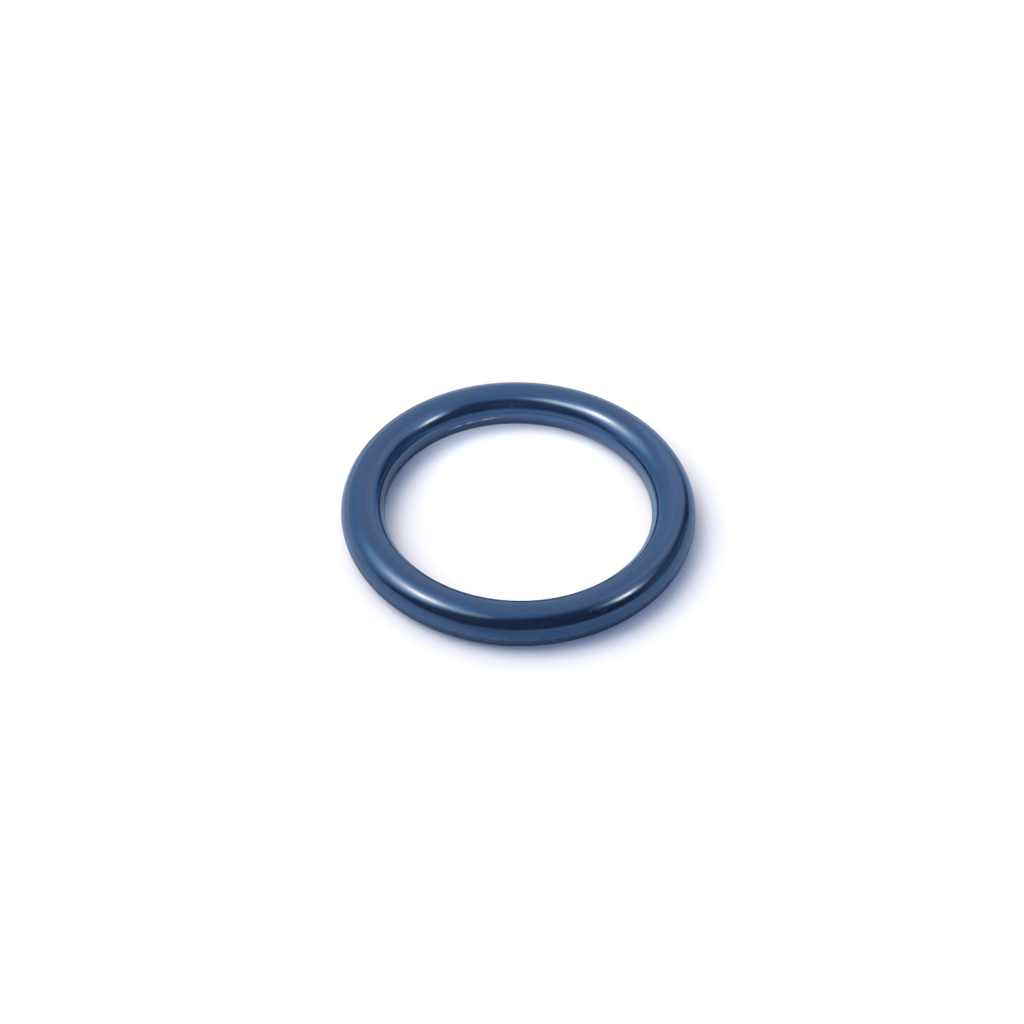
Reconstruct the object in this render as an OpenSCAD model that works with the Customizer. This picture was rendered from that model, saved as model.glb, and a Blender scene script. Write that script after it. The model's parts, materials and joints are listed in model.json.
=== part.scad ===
// Moulded silicone o-ring, lying flat as it comes to rest.
// The ring is one revolved section: a round cord with the trimmed flash line that
// the two mould halves leave along its innermost and outermost circles.
// Origin: centre of the ring, on the surface that it lies on. Z is the ring's axis.

/* [Ring] */
// Inside diameter of the free ring, to the round wall and not to the flash line
inside_d = 21.82; // [8:0.01:60]
// Diameter of the round cord
cord_d = 3.53; // [1.5:0.01:7]

/* [Flash line] */
// Width of the trimmed flash line, along the ring's axis
flash_w = 0.10; // [0.06:0.01:0.20]
// How far the inner flash line stands proud of the cord, towards the axis
inner_flash_h = 0.04; // [0.02:0.01:0.10]
// How far the outer flash line stands proud of the cord, away from the axis
outer_flash_h = 0.04; // [0.02:0.01:0.10]

/* [Finish] */
// Colour of the silicone
silicone_colour = "steelblue"; // [steelblue, firebrick, dimgray, white]
// Sides that a full circle is drawn with in a preview
smoothness = 180; // [60:12:360]

/* [Hidden] */
// The radius from the ring's axis to the middle of the cord
cord_path_r = (inside_d + cord_d) / 2;
// The height of the mould's parting plane, through the middle of the cord
parting_z = cord_d / 2;

// The section in its own plane: x runs out from the cord's middle, y runs up
module cord_section() {
    circle(d = cord_d, $fn = smoothness);
    inner_crest_x = -cord_d / 2 - inner_flash_h;
    outer_crest_x = cord_d / 2 + outer_flash_h;
    translate([inner_crest_x, -flash_w / 2])
        square([outer_crest_x - inner_crest_x, flash_w]);
}

// The whole ring: the section taken once round the axis at the cord's path
module o_ring() {
    color(silicone_colour)
        rotate_extrude($fn = smoothness)
            translate([cord_path_r, parting_z])
                cord_section();
}

o_ring();
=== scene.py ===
import json
import math

import bpy
from mathutils import Matrix, Vector, noise

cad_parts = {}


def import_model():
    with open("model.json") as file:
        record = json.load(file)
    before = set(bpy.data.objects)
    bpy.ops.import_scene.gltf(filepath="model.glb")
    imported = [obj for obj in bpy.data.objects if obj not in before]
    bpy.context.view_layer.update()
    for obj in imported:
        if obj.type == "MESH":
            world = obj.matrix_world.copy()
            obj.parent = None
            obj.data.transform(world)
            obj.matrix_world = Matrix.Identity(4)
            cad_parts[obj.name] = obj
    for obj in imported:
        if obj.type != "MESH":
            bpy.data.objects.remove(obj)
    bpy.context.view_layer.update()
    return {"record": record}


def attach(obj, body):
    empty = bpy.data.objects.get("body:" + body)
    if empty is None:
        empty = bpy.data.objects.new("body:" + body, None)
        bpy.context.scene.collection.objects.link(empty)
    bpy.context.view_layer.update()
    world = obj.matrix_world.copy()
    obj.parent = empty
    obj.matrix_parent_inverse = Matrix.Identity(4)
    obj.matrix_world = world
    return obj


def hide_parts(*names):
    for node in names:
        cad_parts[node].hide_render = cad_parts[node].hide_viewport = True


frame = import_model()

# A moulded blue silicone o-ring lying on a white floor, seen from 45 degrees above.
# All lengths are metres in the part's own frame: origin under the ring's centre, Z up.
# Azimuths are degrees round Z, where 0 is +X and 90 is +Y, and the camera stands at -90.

MM = 0.001

# Sizes of the ring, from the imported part
MOUNTS = {m["name"]: m for m in frame["record"]["mounts"]}
INNER_CREST_R = MOUNTS["inner_seal"]["dims"]["r_mm"] * MM
OUTER_CREST_R = MOUNTS["outer_seal"]["dims"]["r_mm"] * MM
FLASH_W = MOUNTS["outer_seal"]["dims"]["length_mm"] * MM
CORD_R = MOUNTS["outer_seal"]["pos_m"][2]
PATH_R = (INNER_CREST_R + OUTER_CREST_R) / 2
FLASH_H = (OUTER_CREST_R - INNER_CREST_R) / 2 - CORD_R
CENTRE = Vector((0, 0, CORD_R))

# How finely the ring is meshed
STEPS_ROUND_RING = 720
STEPS_PER_HALF_CORD = 50

# The trimmed flash line across its width: shares of FLASH_W up, and of its height out
FLASH_SECTION = ((0.36, 0.6), (0.14, 1.0), (-0.14, 1.0), (-0.36, 0.6))

# How proud the flash line was left, as shares of the height it was moulded with
TRIMMED_SHARE = 0.03
TRIMMED_UNEVENNESS = 0.03
LEFT_ON_SHARE = 0.16
LEFT_ON_UNEVENNESS = (0.10, 0.25)
LEAST_SHARE, MOST_SHARE = 0.01, 0.6

# Where more of the flash line is left: azimuth from, to and fade in degrees
INNER_STRETCH = (101, 121, 4)
OUTER_STRETCH = (-112, -72, 12)

# Half the height of the pale flash line, and how far up it has faded out
FLASH_PALE_H = 0.04 * MM
FLASH_FADED_H = 0.09 * MM

# Pale specks on the skin: azimuth, degrees round the cord, size in mm
SPECKS = (
    (93.8, 146.5, 0.10), (92.9, -179.0, 0.07), (-60.2, 43.3, 0.08), (-65.3, 52.5, 0.09),
    (-62.5, 49.5, 0.06),
)

# The silicone: colours, gloss, and the faint marks of its flow in the mould
SILICONE_DARK = (0.008, 0.017, 0.041, 1)
SILICONE_LIGHT = (0.010, 0.021, 0.051, 1)
INNER_FLASH_COLOUR = (0.17, 0.20, 0.26, 1)
OUTER_FLASH_COLOUR = (0.040, 0.062, 0.100, 1)
SPECK_COLOUR = (0.09, 0.12, 0.17, 1)
SILICONE_ROUGHNESS = (0.15, 0.20)
FLOW_MARKS_ROUND_RING = 5
FLOW_MARKS_PER_METRE = 3200
FLOW_MARK_H = 0.004 * MM

# The floor: its flat part, its edge, and how high the edge curves up all round and in front
FLOOR_FLAT_R = 300 * MM
FLOOR_EDGE_R = 500 * MM
FLOOR_EDGE_H = 45 * MM
FLOOR_FRONT_H = 75 * MM
FLOOR_STEPS = 96
FLOOR_CURVE_STEPS = 10

# Painted reflection: floor colours that only the silicone's gloss sees, with shade and light
# painted in, and between which two distances each sets in
# Painted shade away from the key light, and painted light towards it
FLOOR_SHADED = (0.46, 0.64, 0.88, 1)
FLOOR_LIT = (0.74, 0.92, 1.20, 1)
LIT_DIRECTION = (-0.8, 0.6, 0)
LIT_FROM, LIT_TO = -12 * MM, -5 * MM
FLOOR_BEHIND = (0.58, 0.58, 0.68, 1)
BEHIND_FROM, BEHIND_TO = 9 * MM, 15 * MM
# Painted light: lighter to the right
FLOOR_RIGHT_PAINTED_LIGHT = (0.56, 0.77, 1.04, 1)
RIGHT_FROM, RIGHT_TO = 12 * MM, 18 * MM
# Painted shadow of the ring on the floor beside it
PAINTED_SHADOW_BESIDE_RING = (0.20, 0.30, 0.40, 1)
BESIDE_FROM, BESIDE_TO = 1.2 * MM, 4.2 * MM

# The same for the floor in the far half of the hole, from its left to its right: painted light,
# brighter to the right, and a lighter painted shadow under the lit wall
HOLE_LEFT_X, HOLE_RIGHT_X = -3 * MM, 7 * MM
HOLE_PAINTED_LIGHT_AND_SHADE = (
    (0.0, (0.50, 0.60, 0.78, 1)), (0.35, (0.70, 0.86, 1.10, 1)),
    (0.70, (0.76, 0.94, 1.22, 1)), (1.0, (1.05, 1.22, 1.50, 1)),
)
FAR_HALF_FROM, FAR_HALF_TO = 2.5 * MM, 4 * MM
PAINTED_SHADOW_UNDER_LIT_WALL = (0.50, 0.62, 0.86, 1)
LIT_WALL_FROM, LIT_WALL_TO = 2 * MM, 6 * MM

# A painted dark reflection: a dark round painted on the floor in the middle of the hole, that
# the front of the inner wall mirrors
PAINTED_DARK_ROUND_MIDDLE = (0, -3.5 * MM, 0)
DARK_ROUND_FROM, DARK_ROUND_TO = 7.2 * MM, 8.6 * MM
PAINTED_DARK_REFLECTION = (0.03, 0.04, 0.06, 1)

# The panel that the gloss mirrors as a light tent: its azimuth, elevation and distance
TENT_AZIMUTH, TENT_ELEVATION = 120, 44
TENT_DISTANCE = 45 * MM

# How far off the lamps of the distant softboxes are drawn
SUN_DISTANCE = 400 * MM

# Distant softboxes: name, azimuth, elevation, angular radius, and strength of the light
LIGHTING = (
    ("key", -178, 57, 20, (1.44, 1.30, 1.05)),
    ("key_spill", 160, 56, 40, (1.00, 0.93, 0.90)),
    ("overhead", 0, 88, 50, (0.51, 0.57, 0.58)),
    ("from_front", -120, 55, 25, (0.44, 0.52, 0.70)),
    ("from_right", -60, 45, 25, (0.08, 0.13, 0.42)),
    ("from_behind", 110, 60, 25, (0.54, 0.48, 0.35)),
)

# The same for what only the gloss sees
HIGHLIGHTS = (
    ("tent_back_mirrored", 80, 50, 36, (0.30, 0.14, 0.04)),
    ("tent_low_mirrored", 62, 34, 15, (0.045, 0.030, 0.020)),
    ("left_hot_spot", -172, 57.5, 7, (0.75, 0.42, 0.24)),
    ("left_softbox", -176, 54, 14, (0.70, 0.48, 0.33)),
    ("left_halo", 178, 52, 22, (0.59, 0.43, 0.27)),
    ("left_glow", 176, 51, 29, (0.068, 0.295, 0.470)),
    ("left_tail", -137, 64, 10, (0.17, 0.14, 0.11)),
    ("right_hot_spot", -11, 45, 4.5, (0.38, 0.24, 0.16)),
    ("right_softbox", -10, 46, 9, (0.25, 0.19, 0.15)),
    ("right_halo", -6, 48, 16, (0.11, 0.15, 0.20)),
    ("right_shoulder", 27, 50, 18, (0.110, 0.110, 0.125)),
    ("right_low_blue", 46, 10, 12, (0.000, 0.007, 0.036)),
)

# The camera, fitted to the outline of the ring in the photograph
VIEW_ELEVATION = math.radians(45.1)
VIEW_ROLL = math.radians(1.18)
VIEW_DISTANCE = 195.4 * MM
SENSOR_WIDTH_MM = 36.0
LENS_MM = 84.2
PHOTO_SIZE_PX = 1024
RING_CENTRE_PX = (518.4, 508.1)


def new_material(name):
    """A node material with nothing in it but its output, and that output."""
    material = bpy.data.materials.new(name)
    material.use_nodes = True
    nodes = material.node_tree.nodes
    nodes.clear()
    return material, nodes.new("ShaderNodeOutputMaterial")


def add_node(tree, kind, values=None, **settings):
    """A node of that kind, with its settings, and its sockets set or linked."""
    node = tree.nodes.new("ShaderNode" + kind)
    for key, value in settings.items():
        setattr(node, key, value)
    for key, value in (values or {}).items():
        if isinstance(value, bpy.types.NodeSocket):
            tree.links.new(value, node.inputs[key])
        else:
            node.inputs[key].default_value = value
    return node


def maths(tree, operation, *values):
    """The result of a Math node on one or two values."""
    node = add_node(tree, "Math", dict(enumerate(values)), operation=operation)
    return node.outputs["Value"]


def vector_maths(tree, operation, *values):
    """The result of a Vector Math node on one or two vectors."""
    node = add_node(tree, "VectorMath", dict(enumerate(values)), operation=operation)
    is_number = operation in ("LENGTH", "DISTANCE", "DOT_PRODUCT")
    return node.outputs["Value" if is_number else "Vector"]


def rising(tree, value, low, high, interpolation="LINEAR"):
    """A socket that is 0 up to the low value and 1 from the high one."""
    node = add_node(tree, "MapRange", {
        "Value": value, "From Min": low, "From Max": high,
    }, interpolation_type=interpolation)
    return node.outputs["Result"]


def falling(tree, value, low, high):
    """A socket that is 1 up to the low value and 0 from the high one."""
    node = add_node(tree, "MapRange", {
        "Value": value, "From Min": low, "From Max": high, "To Min": 1.0, "To Max": 0.0,
    })
    return node.outputs["Result"]


def mixed(tree, share, first, second):
    """The first colour, with that share of the second."""
    node = add_node(tree, "Mix", {
        "Factor": share, "A": first, "B": second,
    }, data_type="RGBA")
    return node.outputs["Result"]


def polar(azimuth, elevation):
    """The direction at that azimuth and elevation, in degrees."""
    a, e = math.radians(azimuth), math.radians(elevation)
    return Vector((math.cos(e) * math.cos(a), math.cos(e) * math.sin(a), math.sin(e)))


# The ring's mesh

def section_points():
    """The cord's section as (out, up, share of the flash) from the cord's middle.

    The round runs anticlockwise from just above the outer flash line. Points on a
    flash line's crest have a share of 1, those beside it less, and all others of 0.
    """
    root = math.asin(FLASH_W / 2 / CORD_R)
    points = []
    for side in (0, 1):
        start = side * math.pi + root
        sweep = math.pi - 2 * root
        for k in range(STEPS_PER_HALF_CORD + 1):
            angle = start + sweep * k / STEPS_PER_HALF_CORD
            points.append((CORD_R * math.cos(angle), CORD_R * math.sin(angle), 0.0))
        face = 1 if side == 0 else -1
        for up, share in FLASH_SECTION:
            points.append((-face * CORD_R, face * up * FLASH_W, share))
    return points


def bump_between(angle, start, end, soft):
    """1 between two angles and 0 outside them, with a soft ramp at both ends, in degrees."""
    middle, half = (start + end) / 2, (end - start) / 2
    away = abs((math.degrees(angle) - middle + 180) % 360 - 180)
    return min(1.0, max(0.0, (half + soft - away) / soft))


def flash_height(angle, inner):
    """How proud the trimmed flash line stands at an angle round the ring.

    It was trimmed nearly flush, and a little more of it was left on one stretch.
    """
    seed = Vector((7.0, 3.0, 11.0)) if inner else Vector((1.0, 5.0, 2.0))
    place = Vector((math.cos(angle), math.sin(angle), 0))
    slow = noise.noise(seed + place * 6.0)
    fine = noise.noise(seed + place * 60.0)
    left_on = bump_between(angle, *(INNER_STRETCH if inner else OUTER_STRETCH))
    uneven = LEFT_ON_UNEVENNESS[0] * slow + LEFT_ON_UNEVENNESS[1] * fine
    share = TRIMMED_SHARE + TRIMMED_UNEVENNESS * slow + left_on * (LEFT_ON_SHARE + uneven)
    return FLASH_H * min(MOST_SHARE, max(LEAST_SHARE, share))


def ring_mesh():
    """The section swept once round the axis, with the flash line as it was trimmed."""
    section = section_points()
    count = len(section)
    vertices, faces = [], []
    for j in range(STEPS_ROUND_RING):
        turn = 2 * math.pi * j / STEPS_ROUND_RING
        heights = {1: flash_height(turn, False), -1: flash_height(turn, True)}
        for out, up, share in section:
            side = 1 if out > 0 else -1
            r = PATH_R + out + side * share * heights[side]
            vertices.append((r * math.cos(turn), r * math.sin(turn), CORD_R + up))
        here, there = j * count, ((j + 1) % STEPS_ROUND_RING) * count
        for i in range(count):
            k = (i + 1) % count
            faces.append((here + i, there + i, there + k, here + k))
    mesh = bpy.data.meshes.new("silicone_ring")
    mesh.from_pydata(vertices, [], faces)
    mesh.validate()
    mesh.shade_smooth()
    return mesh


# Materials

def on_cord(azimuth, around):
    """The point of the skin at an azimuth and an angle round the cord, in degrees."""
    a, s = math.radians(azimuth), math.radians(around)
    r = PATH_R + CORD_R * math.cos(s)
    return Vector((r * math.cos(a), r * math.sin(a), CORD_R + CORD_R * math.sin(s)))


def speck_mask(tree, place):
    """A socket that is 1 inside any of the specks and 0 elsewhere."""
    mask = 0.0
    for azimuth, around, size in SPECKS:
        away = vector_maths(tree, "DISTANCE", place, on_cord(azimuth, around))
        spot = falling(tree, away, 0.3 * size * MM, 0.6 * size * MM)
        mask = maths(tree, "MAXIMUM", mask, spot)
    return mask


def level_place(tree, place):
    """The place as seen from above, with no height."""
    return vector_maths(tree, "MULTIPLY", place, (1, 1, 0))


def flash_mask(tree, place, stretch, inner):
    """A socket that is above 0 on a stretch where more of the flash line was left."""
    height = add_node(tree, "SeparateXYZ", {0: place}).outputs["Z"]
    off_line = maths(tree, "ABSOLUTE", maths(tree, "SUBTRACT", height, CORD_R))
    line = falling(tree, off_line, FLASH_PALE_H, FLASH_FADED_H)
    flat = level_place(tree, place)
    radius = vector_maths(tree, "LENGTH", flat)
    side = maths(tree, "LESS_THAN" if inner else "GREATER_THAN", radius, PATH_R)
    start, end, soft = stretch
    middle, half = (start + end) / 2, (end - start) / 2
    outwards = vector_maths(tree, "NORMALIZE", flat)
    nearness = vector_maths(tree, "DOT_PRODUCT", outwards, polar(middle, 0))
    along = rising(
        tree, nearness, math.cos(math.radians(half + soft)), math.cos(math.radians(half)))
    broken = add_node(tree, "TexNoise", {"Vector": flat, "Scale": 1300.0, "Detail": 2.0})
    left_on = rising(tree, broken.outputs["Fac"], 0.40, 0.60)
    mask = line
    for part in (side, along, left_on):
        mask = maths(tree, "MULTIPLY", mask, part)
    return mask


def flow_marks(tree, place):
    """A noise socket whose marks run along the cord, as the silicone flowed in the mould."""
    flat = level_place(tree, place)
    outwards = vector_maths(tree, "NORMALIZE", flat)
    round_ring = (FLOW_MARKS_ROUND_RING, FLOW_MARKS_ROUND_RING, 0)
    along = vector_maths(tree, "MULTIPLY", outwards, round_ring)
    across = vector_maths(tree, "MULTIPLY", place, (0, 0, FLOW_MARKS_PER_METRE))
    radius = vector_maths(tree, "LENGTH", flat)
    marks = add_node(tree, "TexNoise", {
        "Vector": vector_maths(tree, "ADD", along, across),
        "W": maths(tree, "MULTIPLY", radius, FLOW_MARKS_PER_METRE),
        "Scale": 1.0, "Detail": 2.0,
    }, noise_dimensions="4D")
    return marks.outputs["Fac"]


def silicone():
    """Glossy dark slate-blue silicone rubber, with faint flow marks and a few pale specks."""
    material, output = new_material("blue_silicone")
    tree = material.node_tree
    place = add_node(tree, "TexCoord").outputs["Object"]
    marks = flow_marks(tree, place)
    tint = add_node(tree, "ValToRGB", {"Fac": marks})
    dark, light = tint.color_ramp.elements
    dark.position, dark.color = 0.35, SILICONE_DARK
    light.position, light.color = 0.65, SILICONE_LIGHT
    colour = tint.outputs["Color"]
    inner_flash = flash_mask(tree, place, INNER_STRETCH, True)
    colour = mixed(tree, inner_flash, colour, INNER_FLASH_COLOUR)
    outer_flash = flash_mask(tree, place, OUTER_STRETCH, False)
    colour = mixed(tree, outer_flash, colour, OUTER_FLASH_COLOUR)
    colour = mixed(tree, speck_mask(tree, place), colour, SPECK_COLOUR)
    cloud = add_node(tree, "TexNoise", {"Vector": place, "Scale": 900.0, "Detail": 3.0})
    roughness = add_node(tree, "MapRange", {
        "Value": cloud.outputs["Fac"], "From Min": 0.3, "From Max": 0.7,
        "To Min": SILICONE_ROUGHNESS[0], "To Max": SILICONE_ROUGHNESS[1],
    })
    relief = add_node(tree, "Bump", {"Height": marks, "Strength": 1.0, "Distance": FLOW_MARK_H})
    body = add_node(tree, "BsdfPrincipled", {
        "Base Color": colour,
        "Roughness": roughness.outputs["Result"],
        "Normal": relief.outputs["Normal"],
        "IOR": 1.62,
        "Specular IOR Level": 1.0,
        "Specular Tint": (0.415, 0.66, 1.0, 1),
    })
    tree.links.new(body.outputs["BSDF"], output.inputs["Surface"])
    return material


def painted_far_hole_light(tree, x):
    """The painted light and shade that the back of the inner wall mirrors of the floor, from
    left to right.
    """
    share = rising(tree, x, HOLE_LEFT_X, HOLE_RIGHT_X)
    node = add_node(tree, "ValToRGB", {"Fac": share})
    elements = node.color_ramp.elements
    elements[0].color = HOLE_PAINTED_LIGHT_AND_SHADE[0][1]
    elements[1].color = HOLE_PAINTED_LIGHT_AND_SHADE[-1][1]
    for position, colour in HOLE_PAINTED_LIGHT_AND_SHADE[1:-1]:
        elements.new(position).color = colour
    return node.outputs["Color"]


def painted_floor_reflection(tree, place):
    """The floor's colour as the silicone's gloss sees it: bluish, with a painted shadow beside
    the ring.

    Shade and light are painted in, standing in for the ring's own shadow and blue glow. In the
    far half of the hole the painted light is brighter to the right, where the key light falls.
    """
    flat = level_place(tree, place)
    radius = vector_maths(tree, "LENGTH", flat)
    split = add_node(tree, "SeparateXYZ", {0: place})
    x, y = split.outputs["X"], split.outputs["Y"]
    in_hole = maths(tree, "LESS_THAN", radius, PATH_R)
    far_hole = maths(tree, "MULTIPLY", in_hole, rising(tree, y, FAR_HALF_FROM, FAR_HALF_TO))

    # Painted light and shade away from the ring
    towards_key = vector_maths(tree, "DOT_PRODUCT", flat, LIT_DIRECTION)
    lit = rising(tree, towards_key, LIT_FROM, LIT_TO, "SMOOTHSTEP")
    clear = mixed(tree, lit, FLOOR_SHADED, FLOOR_LIT)
    behind = rising(tree, y, BEHIND_FROM, BEHIND_TO, "SMOOTHSTEP")
    clear = mixed(tree, behind, clear, FLOOR_BEHIND)
    clear = mixed(tree, far_hole, clear, painted_far_hole_light(tree, x))
    clear = mixed(tree, rising(tree, x, RIGHT_FROM, RIGHT_TO), clear, FLOOR_RIGHT_PAINTED_LIGHT)

    # Painted shadow beside the ring, lighter under the lit wall
    under_lit_wall = maths(
        tree, "MULTIPLY", far_hole, rising(tree, x, LIT_WALL_FROM, LIT_WALL_TO))
    beside = mixed(tree, under_lit_wall, PAINTED_SHADOW_BESIDE_RING, PAINTED_SHADOW_UNDER_LIT_WALL)

    gap = maths(tree, "ABSOLUTE", maths(tree, "SUBTRACT", radius, PATH_R))
    away = rising(tree, gap, BESIDE_FROM, BESIDE_TO, "SMOOTHSTEP")
    colour = mixed(tree, away, beside, clear)
    # Painted dark reflection in the middle of the hole
    from_dark = vector_maths(tree, "DISTANCE", place, PAINTED_DARK_ROUND_MIDDLE)
    dark = falling(tree, from_dark, DARK_ROUND_FROM, DARK_ROUND_TO)
    return mixed(tree, dark, colour, PAINTED_DARK_REFLECTION)


def floor_white_painted_reflection():
    """A white sweep that keeps the object's shadow and shows no edge; glossy rays see painted
    shade and light instead.
    """
    material, output = new_material("floor_white_painted_reflection")
    tree = material.node_tree
    path = add_node(tree, "LightPath")
    place = add_node(tree, "TexCoord").outputs["Object"]
    paper = add_node(tree, "BsdfDiffuse", {"Color": (0.9, 0.9, 0.9, 1)})
    # Painted reflection: glossy rays see the floor in colours with shade and light painted in
    painted_mirror_image = add_node(tree, "BsdfDiffuse", {"Color": painted_floor_reflection(tree, place)})
    surface = add_node(tree, "MixShader", {
        0: path.outputs["Is Glossy Ray"], 1: paper.outputs[0], 2: painted_mirror_image.outputs[0],
    })
    glow = add_node(tree, "Emission", {"Color": (0.42, 0.58, 1.0, 1), "Strength": 0.10})
    dark = add_node(tree, "Emission", {"Strength": 0.0})
    seen = add_node(tree, "MixShader", {
        0: path.outputs["Is Camera Ray"], 1: dark.outputs[0], 2: glow.outputs[0],
    })
    both = add_node(tree, "AddShader", {0: surface.outputs[0], 1: seen.outputs[0]})
    tree.links.new(both.outputs[0], output.inputs["Surface"])
    return material


# Stage

def floor():
    """A round white floor whose edge curves up, highest in front."""
    profile = [(20 * MM, 0.0), (FLOOR_FLAT_R, 0.0)]
    for k in range(1, FLOOR_CURVE_STEPS + 1):
        t = k / FLOOR_CURVE_STEPS
        profile.append((FLOOR_FLAT_R + (FLOOR_EDGE_R - FLOOR_FLAT_R) * t, t * t))
    vertices, faces = [(0, 0, 0)], []
    for r, lift in profile:
        for j in range(FLOOR_STEPS):
            a = 2 * math.pi * j / FLOOR_STEPS
            height = lift * (FLOOR_EDGE_H + FLOOR_FRONT_H * max(0.0, -math.sin(a)))
            vertices.append((r * math.cos(a), r * math.sin(a), height))
    for j in range(FLOOR_STEPS):
        faces.append((0, 1 + j, 1 + (j + 1) % FLOOR_STEPS))
    for i in range(len(profile) - 1):
        for j in range(FLOOR_STEPS):
            k = (j + 1) % FLOOR_STEPS
            a, b = 1 + i * FLOOR_STEPS, 1 + (i + 1) * FLOOR_STEPS
            faces.append((a + j, b + j, b + k, a + k))
    mesh = bpy.data.meshes.new("floor")
    mesh.from_pydata(vertices, [], faces)
    mesh.shade_smooth()
    mesh.materials.append(floor_white_painted_reflection())
    sheet = bpy.data.objects.new("floor", mesh)
    bpy.context.scene.collection.objects.link(sheet)


def add_lamp(light, place, towards, diffuse, glossy):
    """That light at a place, shining in a direction, and seen by those rays alone."""
    lamp = bpy.data.objects.new(light.name, light)
    lamp.location = place
    lamp.rotation_mode = "QUATERNION"
    lamp.rotation_quaternion = Vector(towards).to_track_quat("-Z", "Y")
    lamp.visible_camera = False
    lamp.visible_diffuse = diffuse
    lamp.visible_glossy = glossy
    bpy.context.scene.collection.objects.link(lamp)


def sun(name, azimuth, elevation, spread, strength, diffuse, glossy):
    """A distant round softbox: spread is its angular radius in degrees."""
    light = bpy.data.lights.new(name, "SUN")
    light.angle = 2 * math.radians(spread)
    light.energy = max(strength)
    light.color = [part / light.energy for part in strength]
    side = polar(azimuth, elevation)
    add_lamp(light, CENTRE + side * SUN_DISTANCE, -side, diffuse, glossy)


def tent(name, spread, radiance):
    """A wide round panel near the ring that only its gloss sees, radius in degrees."""
    size = TENT_DISTANCE * math.tan(math.radians(spread))
    light = bpy.data.lights.new(name, "AREA")
    light.shape = "DISK"
    light.size = 2 * size
    light.energy = max(radiance) * 4 * math.pi * size * size
    light.color = [part / max(radiance) for part in radiance]
    side = polar(TENT_AZIMUTH, TENT_ELEVATION)
    add_lamp(light, CENTRE + side * TENT_DISTANCE, -side, diffuse=False, glossy=True)


def card(name, place, aim, width, height, radiance, spread=180):
    """A small one-sided oval card near the ring that only its gloss sees.

    A spread under 180 degrees keeps it out of sight, and brighter straight ahead.
    """
    light = bpy.data.lights.new(name, "AREA")
    light.shape = "ELLIPSE"
    light.size = width
    light.size_y = height
    light.spread = math.radians(spread)
    light.energy = max(radiance) * math.pi * width * height
    light.color = [part / max(radiance) for part in radiance]
    add_lamp(light, place, Vector(aim) - Vector(place), diffuse=False, glossy=True)


def hole_fill():
    """A small card's bounce into the ring's hole, onto the floor under its back wall."""
    light = bpy.data.lights.new("hole_fill", "SPOT")
    light.energy = 0.008
    light.color = (0.95, 0.97, 1.0)
    light.spot_size = math.radians(62)
    light.spot_blend = 1.0
    light.shadow_soft_size = 3 * MM
    place = Vector((0, -4 * MM, 14 * MM))
    foot_of_wall = Vector((0, INNER_CREST_R, 0))
    add_lamp(light, place, foot_of_wall - place, diffuse=True, glossy=False)


def cards():
    """Small cards, each for one part of the ring that mirrors it."""
    card("left_wall_card", (12 * MM, 9 * MM, 10 * MM), (-9.4 * MM, 5.5 * MM, 2.7 * MM),
         16 * MM, 8 * MM, (0.10, 0.20, 0.38))
    card("back_wall_card", (0, 3.9 * MM, 1.3 * MM), (0, INNER_CREST_R, 1.3 * MM),
         19 * MM, 2.7 * MM, (0.32, 0.50, 0.72))
    card("right_wall_card", (-3.2 * MM, 3.8 * MM, 2 * MM), (-3.2 * MM, INNER_CREST_R, 2 * MM),
         7.5 * MM, 3 * MM, (0.42, 0.42, 0.46))
    card("back_tail_card", (-3.9 * MM, 4.4 * MM, 20.9 * MM), (3.7 * MM, 10.2 * MM, 3.2 * MM),
         7 * MM, 7.5 * MM, (0.50, 0.37, 0.25), spread=60)
    card("right_low_card", (32 * MM, -3 * MM, 8 * MM), (10 * MM, -5 * MM, 3 * MM),
         26 * MM, 11 * MM, (0.15, 0.25, 0.36))


def lights():
    """What lights the ring and floor, and what the glossy silicone mirrors."""
    for softbox in LIGHTING:
        sun(*softbox, diffuse=True, glossy=False)
    hole_fill()
    cards()
    tent("tent_mirrored", 63, (0.42, 0.67, 0.97))
    tent("tent_edge", 69, (0.24, 0.39, 0.55))
    for softbox in HIGHLIGHTS:
        sun(*softbox, diffuse=False, glossy=True)


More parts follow.
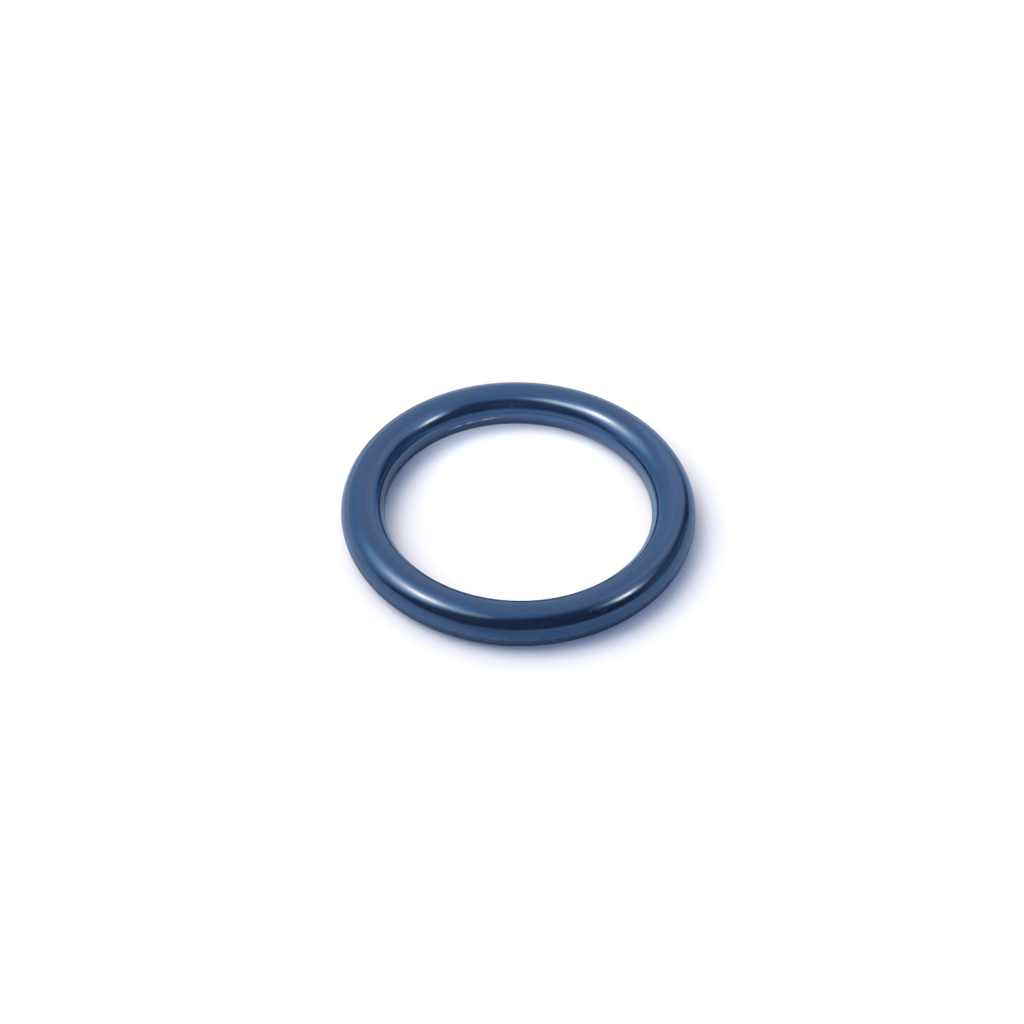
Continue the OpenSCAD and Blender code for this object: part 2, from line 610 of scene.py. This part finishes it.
def world():
    """White to the camera, and a dim cool room to everything else."""
    room = bpy.data.worlds.new("room")
    room.use_nodes = True
    tree = room.node_tree
    tree.nodes.clear()
    path = add_node(tree, "LightPath")
    seen = add_node(tree, "Background", {"Color": (1, 1, 1, 1), "Strength": 1.0})
    dim = add_node(tree, "Background", {"Color": (0.3, 0.5, 1.0, 1), "Strength": 0.02})
    mix = add_node(tree, "MixShader", {
        0: path.outputs["Is Camera Ray"], 1: dim.outputs[0], 2: seen.outputs[0],
    })
    output = add_node(tree, "OutputWorld")
    tree.links.new(mix.outputs[0], output.inputs["Surface"])
    bpy.context.scene.world = room


def camera():
    """The photograph's camera: above and in front, with the ring where it stands there."""
    data = bpy.data.cameras.new("camera")
    data.sensor_width = SENSOR_WIDTH_MM
    data.lens = LENS_MM
    data.clip_start = 1 * MM
    data.clip_end = 10.0
    back_and_up = Vector((0, -math.cos(VIEW_ELEVATION), math.sin(VIEW_ELEVATION)))
    eye = CENTRE + VIEW_DISTANCE * back_and_up
    forward = (CENTRE - eye).normalized()
    right = forward.cross(Vector((0, 0, 1))).normalized()
    up = right.cross(forward)
    roll = Matrix.Rotation(-VIEW_ROLL, 3, forward)
    right, up = roll @ right, roll @ up
    px = VIEW_DISTANCE * SENSOR_WIDTH_MM / LENS_MM / PHOTO_SIZE_PX
    middle = PHOTO_SIZE_PX / 2
    across, down = RING_CENTRE_PX
    aim = CENTRE + right * (middle - across) * px - up * (middle - down) * px
    forward = (aim - eye).normalized()
    right = (right - forward * right.dot(forward)).normalized()
    up = right.cross(forward)
    turned = Matrix((right, up, -forward)).transposed().to_4x4()
    turned.translation = eye
    camera_object = bpy.data.objects.new("camera", data)
    camera_object.matrix_world = turned
    bpy.context.scene.collection.objects.link(camera_object)
    bpy.context.scene.camera = camera_object


def build():
    """The ring in its place, on its floor, lit and seen as in the photograph."""
    mesh = ring_mesh()
    mesh.materials.append(silicone())
    ring = bpy.data.objects.new("silicone_ring", mesh)
    bpy.context.scene.collection.objects.link(ring)
    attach(ring, "root")
    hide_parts("o_ring")
    floor()
    world()
    lights()
    camera()


build()
bpy.context.scene.view_settings.view_transform = "Standard"
